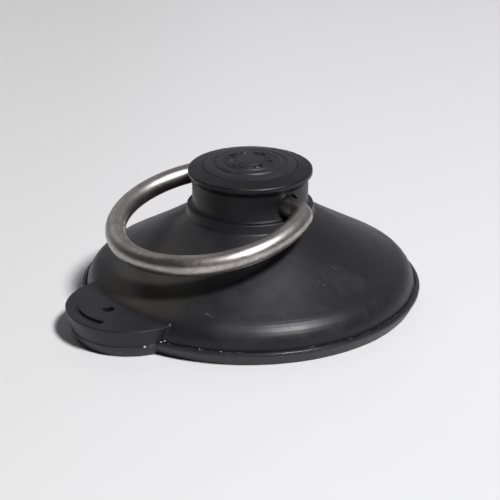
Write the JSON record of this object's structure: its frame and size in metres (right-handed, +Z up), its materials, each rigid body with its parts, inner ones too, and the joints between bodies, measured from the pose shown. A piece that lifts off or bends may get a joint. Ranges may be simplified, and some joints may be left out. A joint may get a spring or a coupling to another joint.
{
  "type": "suction cup with ring handle",
  "caption": "Low domed suction cup with a release tab on its rim and a swinging D-shaped steel ring through the hub.",
  "frame": {"origin": "on the cup's axis, in the plane that the sealing lip rests on", "axes": "+Z up along the cup's axis, X along the ring's hinge, -Y towards the release tab"},
  "size_m": [0.12, 0.1336, 0.0504],
  "materials": {
    "pad_rubber": "matte black moulded rubber",
    "shell_rubber": "semi-matte black moulded rubber",
    "hub_plastic": "satin black moulded plastic",
    "cover_plastic": "satin black moulded plastic",
    "ring_steel": "satin stainless steel",
    "bush_plastic": "dark grey bearing plastic",
    "plated_steel": "zinc-plated steel",
    "gasket_rubber": "black sheet rubber"
  },
  "bodies": {
    "cup": {"suction_pad": "pad_rubber", "dome_shell": "shell_rubber", "hub": "hub_plastic", "hub_cover": "cover_plastic", "bush_right": "bush_plastic", "bush_left": "bush_plastic", "load_plate": "plated_steel", "centre_stud": "plated_steel", "hub_gasket": "gasket_rubber", "stud_washer": "plated_steel", "stud_nut": "plated_steel"},
    "ring": {"ring": "ring_steel"}
  },
  "joints": [
    {"name": "ring_swing", "type": "hinge", "parent": "cup", "child": "ring", "pos_m": [0, 0, 0.0385], "axis": [1, 0, 0], "range_deg": [-211.8, 9.2]}
  ]
}
